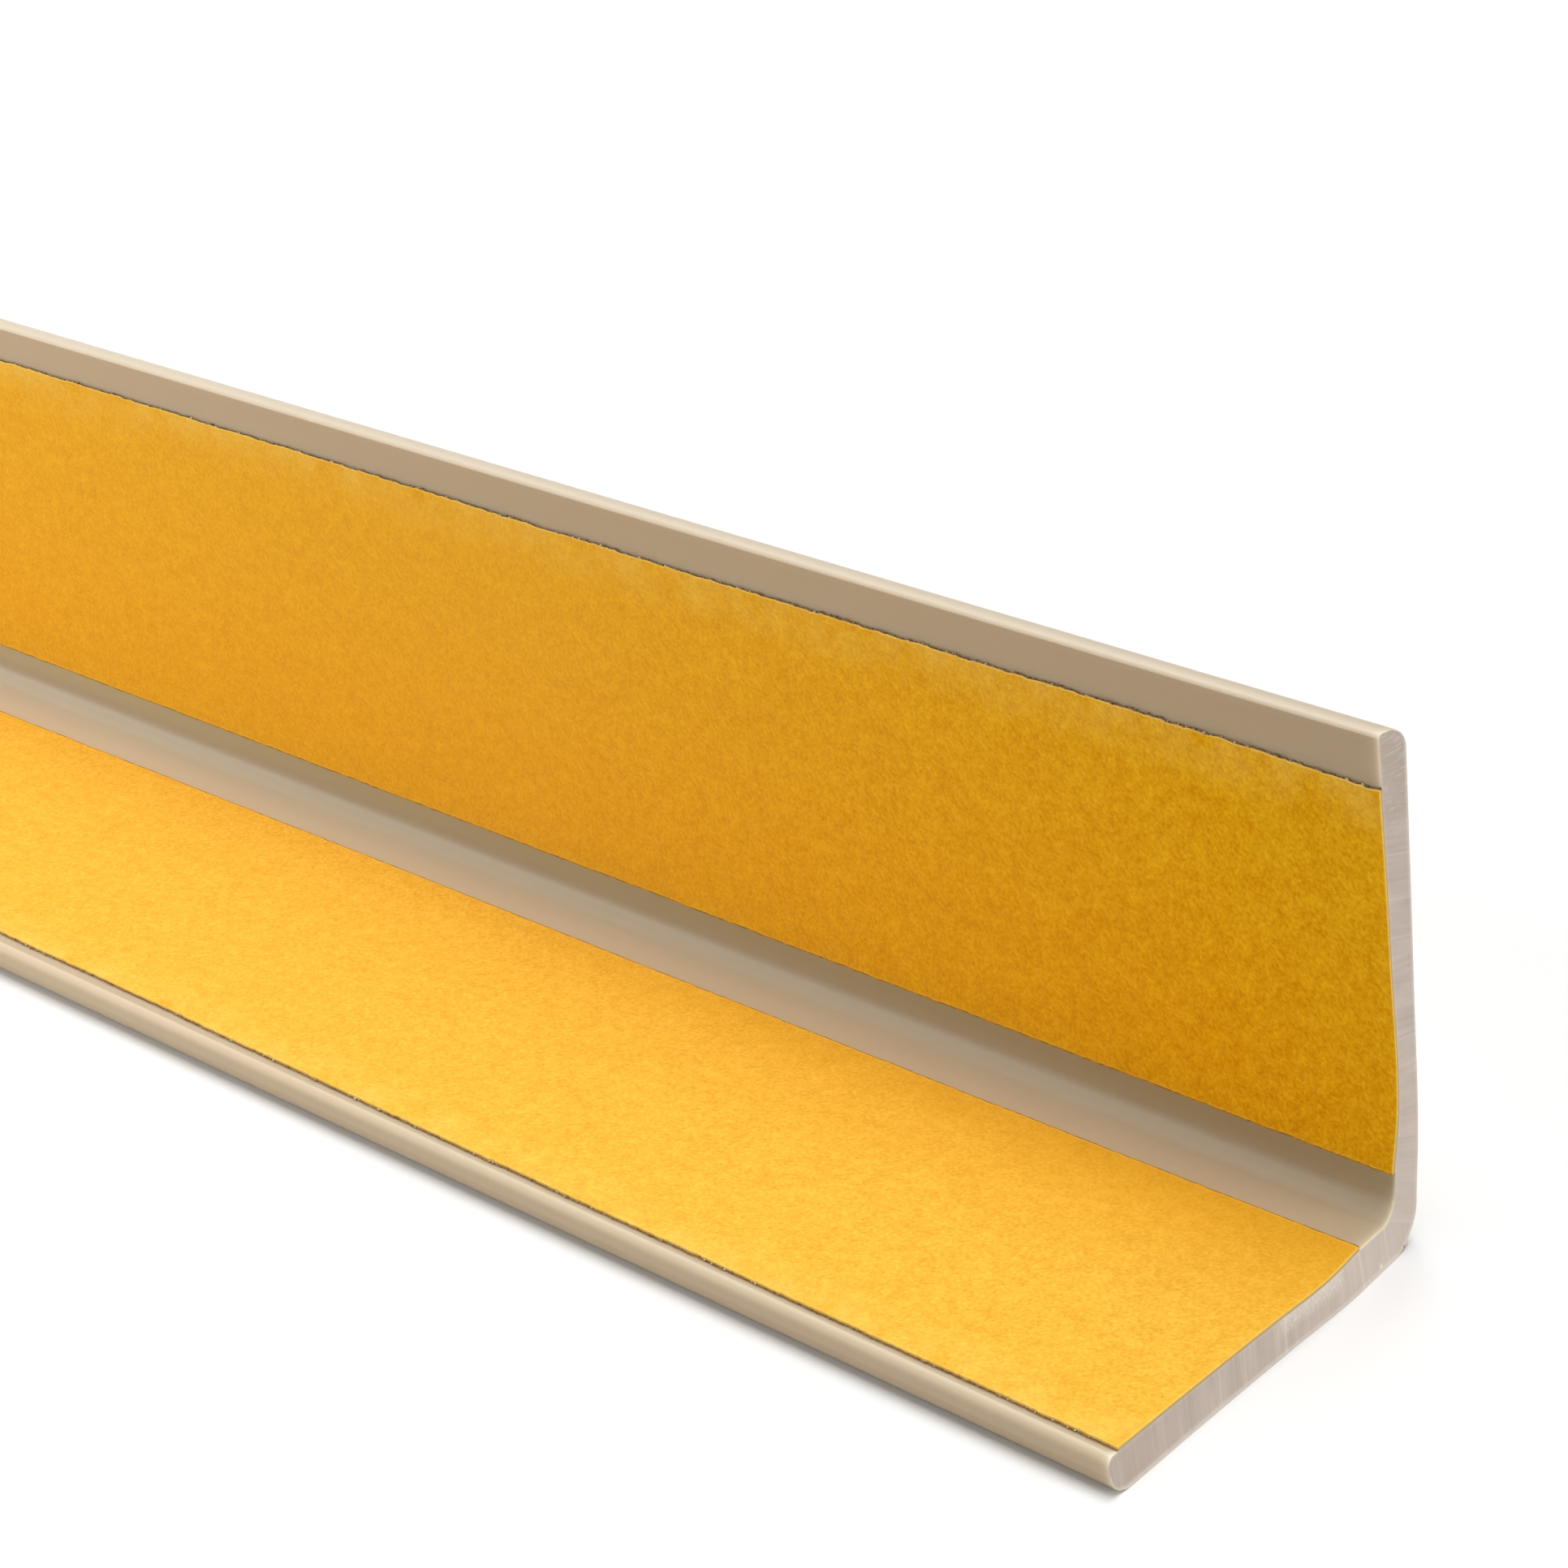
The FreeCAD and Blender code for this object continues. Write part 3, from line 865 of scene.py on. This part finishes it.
# %% [markdown]
# Where the blade went through, the plastic is bruised: paler, greyer and streaked across the wall, with
# one whitish patch where it was pinched. A pale line runs round the edge: partly a burr and partly painted
# light, strongest along the outer side and the underside. The streaks are noise on the cut's own two values,
# the place along the section and the depth in the wall. The larger marks are placed one by one.

# %% Colour of the cut
FINE_LINES, WIPES = (-15.0, 10.8, 15.6, 17.4, 19.5), (-9.9, -3.4, -1.0)
PALE_SPOT, DARK_SPOT = (9.0, 0.27, 0.17), (11.17, 0.22, 0.06)
BRUISED, LIGHT_BRUISED = srgb(190, 174, 160), srgb(216, 200, 187)
MIDDLE_BRUISED, TIP_BRUISED = srgb(222, 207, 193), srgb(178, 162, 146)
WHITISH, DARK_MARK = srgb(238, 227, 213), srgb(120, 96, 84)


def band(streak, start, stop, soft):
    """1 between two places along the section, falling off softly beyond them."""
    return streak.rise(start - soft, start) * (1 - streak.rise(stop, stop + soft))


def spot(pvc, spot_y, spot_z, radius):
    """1 in the middle of a small round mark on the cut, 0 beyond its radius."""
    sockets = {0: pvc.stretch(pvc.place, 0, 1, 1), 1: (0, spot_y, spot_z)}
    distance = pvc.add("ShaderNodeVectorMath", {"operation": "DISTANCE"}, sockets, "Value")
    return 1 - distance.rise(radius * 0.5, radius)


def cut_colour(pvc, y, z, face, fine):
    """Streaky grey beige, lighter in the middle and darker at the tips, with the pale marks over it."""
    streak, depth = pvc.trait("streak"), pvc.trait("depth")
    wide = pvc.noise(pvc.stretch(face, 0.9, 0.2, 1), 1.0, 1)
    grit = pvc.noise(pvc.stretch(face, 11.0, 3.5, 1), 1.0, 3, 0.7)
    scuff = pvc.noise(pvc.stretch(pvc.turn(face, 20), 9.0, 1.2, 1), 1.0, 2, 0.6)
    streaks = 0.5 * fine.rise(0.3, 0.7) + 0.5 * wide.rise(0.35, 0.65)
    colour = pvc.mix(streaks, BRUISED, LIGHT_BRUISED)
    colour = pvc.mix(band(streak, -5.5, 4.5, 5) * 0.5, colour, MIDDLE_BRUISED)
    upper_tip = streak.rise(17.5, 23.5)
    tips = (1 - streak.rise(-21.5, -14.5)) + upper_tip
    colour = pvc.mix(tips * 0.45, colour, TIP_BRUISED)
    # pale rim: partly a burr and partly painted light, strongest along the outer side and the underside
    edge = 0.2 * (1 - depth.rise(-0.9, -0.7)) + 0.75 * depth.rise(0.62, 0.88)
    lines = sum(band(streak, place, place, 0.06) for place in FINE_LINES)
    wipes = sum(band(streak, place, place, 0.18) for place in WIPES)
    knock = band(z + KNOCK_SLANT * y, KNOCK, KNOCK, 0.06) * y.rise(9.7, 10.0)
    pinched = band(streak, -9.8, -5.7, 0.8) * (1 - depth.rise(-0.6, 0.1))
    pale = lines * 0.3 + wipes * 0.35 + knock * 0.5 + edge + scuff.rise(0.52, 0.68) * upper_tip * 0.35
    pale = pale + pinched * (0.55 + 1.0 * grit.rise(0.5, 0.6)) + spot(pvc, *PALE_SPOT)
    colour = pvc.mix(pale.rise(0, 1), colour, WHITISH)
    return pvc.mix(spot(pvc, *DARK_SPOT), colour, DARK_MARK)


# %% [markdown]
# The two colours go on two shaders. The skin is satin and carries faint lines from the die, and light
# travels a short way inside it before it comes out. The cut is duller and has no such glow. The named value
# cut lays the second shader over the first, so one material dresses the whole piece.

# %% PVC finish
SHINE = 0.36
MILKY_RADIUS, MILKY_DEPTH = (1.0, 0.92, 0.84), 0.55 * MM


def pvc_finish():
    """Satin skin under a duller cut face, both with a fine grain."""
    pvc = Finish("beige_pvc")
    x, y, z = (pvc.add("ShaderNodeSeparateXYZ", {}, {0: pvc.place}, axis) for axis in "XYZ")
    die_lines = pvc.noise(pvc.stretch(pvc.place, 0.004, 5, 5), 1.0, 3)
    grain = pvc.noise(pvc.place, 9.0, 3)
    pvc.finish(Base_Color=skin_colour(pvc, x, y, z), Roughness=0.4 + 0.06 * grain, Specular_IOR_Level=SHINE,
               Normal=pvc.bump(die_lines * 0.003 + grain * 0.002), Subsurface_Weight=1.0,
               Subsurface_Radius=MILKY_RADIUS, Subsurface_Scale=MILKY_DEPTH)
    face = pvc.flat_place("streak", "depth")
    fine = pvc.noise(pvc.stretch(face, 5.0, 0.25, 1), 1.0, 2, 0.5)
    pvc.overlay(pvc.trait("cut"))
    return pvc.finish(Base_Color=cut_colour(pvc, y, z, face, fine), Roughness=0.6 + 0.06 * grain,
                      Specular_IOR_Level=SHINE, Normal=pvc.bump(fine * 0.012 + grain * 0.002))


wear(angle, pvc_finish())

# %% [markdown]
# The release paper is a dyed, felted sheet. Seen close, its yellow breaks up into fine strokes a few tenths
# of a millimetre long that mostly lean one way, with wider cloudy patches and a few dark flecks. The strokes
# are noise stretched along one direction of the sheet, so both strips share the same paper. The upper one is
# painted deeper, as shade on the upright, and lighter away from the cut, as painted light that falls off
# towards the cut. The lower one is painted paler, as light on the lower leg, and deeper near the corner and
# the cut, as a painted shadow of the upright.

# %% Paper finish
# painted shade and light: the upper paper is deeper as the upright is in shade, the lower one paler
SHADED_UPPER_YELLOWS = srgb(228, 158, 2), srgb(255, 200, 30)
LIT_LOWER_YELLOWS = srgb(234, 172, 53), srgb(255, 201, 74)
STROKE, FLECK, LIT_YELLOW = srgb(160, 98, 2), srgb(110, 66, 8), srgb(255, 194, 74)
SHADOWED_YELLOW, PALE_YELLOW, DARK_EDGE_SHADE = srgb(222, 158, 10), srgb(255, 222, 122), srgb(108, 78, 50)
BARE_FIBRE = srgb(206, 186, 140)


def paper_finish(name, deep, light, lit_away_from_cut, stroke, shade):
    """Mottled yellow with strokes and flecks, then painted light, shadow and rims, a pale band and fibres."""
    paper = Finish(name)
    along, across, rim = paper.trait("along"), paper.trait("across"), paper.trait("rim")
    sheet = paper.flat_place("along", "across")
    cloud = paper.noise(sheet, 0.45, 2, 0.5)
    mottle = paper.noise(sheet, 1.5, 3, 0.65)
    grain = paper.noise(paper.stretch(paper.turn(sheet, -48), 4.6, 5.2, 1), 1.0, 2, 0.65)
    strokes = paper.noise(paper.stretch(paper.turn(sheet, -55), 4.5, 12.0, 1), 1.0, 1, 0.5)
    flecks = paper.noise(paper.stretch(paper.turn(sheet, -30), 5.0, 8.0, 1), 1.0, 0)
    tone = 0.12 * cloud + 0.38 * mottle + 0.5 * grain
    colour = paper.mix(tone.rise(0.39, 0.61), deep, light)
    colour = paper.mix(strokes.rise(0.6, 0.76) * stroke, colour, STROKE)
    colour = paper.mix(flecks.rise(0.85, 0.9) * 0.6, colour, FLECK)
    # painted light: the paper turns paler away from the cut, where more light falls
    colour = paper.mix(along.rise(8, 52) * lit_away_from_cut, colour, LIT_YELLOW)
    # painted shadow of the upright: deeper near the inner edge and the cut
    colour = paper.mix((1 - across.rise(0, 9)) * (1 - along.rise(5, 60)) * shade, colour, SHADOWED_YELLOW)
    rubbed = (1 - paper.trait("outer").rise(0.2, 2.6)) * cloud.rise(0.3, 0.7) * 0.3
    rim_highlight, dark_rim = rim.rise(0, 1), rim.rise(0, -1)
    # painted highlight where the cut end and the outer slit catch the light, over a paler band by the slit
    colour = paper.mix(rubbed + rim_highlight * 0.6, colour, PALE_YELLOW)
    # painted shade: a dark line along the inner slit, by the corner
    colour = paper.mix(dark_rim * (0.25 + 0.5 * mottle.rise(0.4, 0.6)), colour, DARK_EDGE_SHADE)
    colour = paper.mix(paper.trait("fibre"), colour, BARE_FIBRE)
    height = (0.02 * grain + 0.01 * strokes + 0.02 * mottle - 0.025) * (1 - rim_highlight)
    return paper.finish(Base_Color=colour, Roughness=0.85, Normal=paper.bump(height), Specular_IOR_Level=0.06)


upper_paper = paper_finish("upper_paper", *SHADED_UPPER_YELLOWS, lit_away_from_cut=0.42, stroke=0.25, shade=0.0)
lower_paper = paper_finish("lower_paper", *LIT_LOWER_YELLOWS, lit_away_from_cut=0.05, stroke=0.12, shade=0.5)
wear(strips["upper"]["paper"], upper_paper)
wear(strips["lower"]["paper"], lower_paper)

# %% [markdown]
# The glue is clear, so it takes the colour of the plastic under it. It could be a glass, but a film a tenth
# of a millimetre thick shows none of that. Only where it has crept out and caught dust is it brown, darker on
# the upright than on the lower leg, and the crumbs on it are brown or pale. On the lower leg that thin brown
# line also stands for the shadow under the paper's edge, a painted shadow.

# %% Glue finish
CLEAR_GLUE, PALE_CRUMB = srgb(198, 170, 128), srgb(226, 206, 170)


def glue_finish(name, dark, light):
    """Clear colour where it is hidden, speckled dirt where it has crept out, and pale crumbs."""
    glue = Finish(name)
    dust = glue.noise(glue.place, 9.0, 3, 0.7)
    dirty = glue.mix(dust.rise(0.4, 0.62), dark, light)
    colour = glue.mix(glue.trait("dirt"), CLEAR_GLUE, dirty)
    colour = glue.mix(glue.trait("pale"), colour, PALE_CRUMB)
    return glue.finish(Base_Color=colour, Roughness=0.6 + 0.2 * dust, Normal=glue.bump(0.03 * dust),
                       Specular_IOR_Level=0.15)


wear(strips["upper"]["glue"], glue_finish("upper_glue", srgb(90, 64, 38), srgb(166, 130, 84)))
# the lower glue's brown is partly dirt and partly a painted shadow under the paper's edge
wear(strips["lower"]["glue"], glue_finish("lower_glue", srgb(150, 104, 44), srgb(192, 146, 80)))

# %% [markdown]
# A plain pale floor takes the shadow. It could be one grey for everything, but then it would never look
# white without too much light on the moulding. So it is white to the rays that look at it and a little
# greyer to the light that it throws back, and the underside of the tips keeps its shade.

# %% Floor
FLOOR_REACH, FLOOR_DROP = 4000, 0.02
FLOOR_THROWN, FLOOR_SEEN = (0.65, 0.65, 0.65, 1), (0.97, 0.97, 0.97, 1)


def make_floor():
    """A square sheet under the moulding, a hair below its underside."""
    corners = np.array([(-1, -1), (1, -1), (1, 1), (-1, 1)]) * FLOOR_REACH
    points = np.column_stack([corners, np.full(4, -FLOOR_DROP)]) * MM
    mesh = bpy.data.meshes.new("floor")
    mesh.from_pydata(points.tolist(), [], [(0, 1, 2, 3)])
    floor = bpy.data.objects.new("floor", mesh)
    bpy.context.scene.collection.objects.link(floor)
    card = Finish("floor_card")
    colour = card.mix(card.seen(), FLOOR_THROWN, FLOOR_SEEN)
    wear(floor, card.finish(Base_Color=colour, Roughness=0.9, Specular_IOR_Level=0.0))


make_floor()

# %% [markdown]
# The light is an even white dome, three broad soft lamps from above, behind and the cut end, and a long low
# panel before the open side, which lights the papers along their length. One strong lamp would be simpler,
# but its shadows would be hard. Together they are about as strong as makes a white card white.

# %% Light
def make_world(strength):
    """Even dome that lights with the given strength and is plain white where it is seen."""
    world = bpy.data.worlds.new("studio")
    bpy.context.scene.world = world
    dome = Tree(world)
    sockets = dome.node_tree.nodes["Background"].inputs
    dome.feed(sockets["Color"], (1, 1, 1, 1))
    dome.feed(sockets["Strength"], strength + (1 - strength) * dome.seen())


def hang(name, light, toward):
    """Puts a light into the scene so that it shines the given way."""
    holder = bpy.data.objects.new(name, light)
    holder.rotation_euler = Vector(toward).to_track_quat("-Z", "Y").to_euler()
    bpy.context.scene.collection.objects.link(holder)
    print(name, "shines with", round(light.energy, 2))
    return holder


def make_lamp(name, strength, toward, spread):
    """A far lamp with parallel light, whose soft width is given in degrees."""
    lamp = bpy.data.lights.new(name, "SUN")
    lamp.energy = strength
    lamp.angle = np.radians(spread)
    hang(name, lamp, toward)


def make_panel(name, power, centre, toward, width, height):
    """A soft panel of light near the moulding, with its centre and its two sides in millimetres."""
    panel = bpy.data.lights.new(name, "AREA")
    panel.shape = "RECTANGLE"
    panel.energy = power
    panel.size = width * MM
    panel.size_y = height * MM
    holder = hang(name, panel, toward)
    holder.location = Vector(centre) * MM
    holder.visible_camera = False


make_world(strength=0.085)
make_lamp("high_lamp", 1.72, toward=(0, 0, -1), spread=40)
make_lamp("back_lamp", 0.95, toward=(0.3, -0.45, -1), spread=40)
make_lamp("end_lamp", 1.6, toward=(-1.0, -0.25, -0.2), spread=50)
make_panel("side_panel", 1.1, centre=(-100, -190, 120), toward=(0, 1, -0.45), width=1000, height=120)
bpy.context.scene.view_settings.view_transform = "Standard"
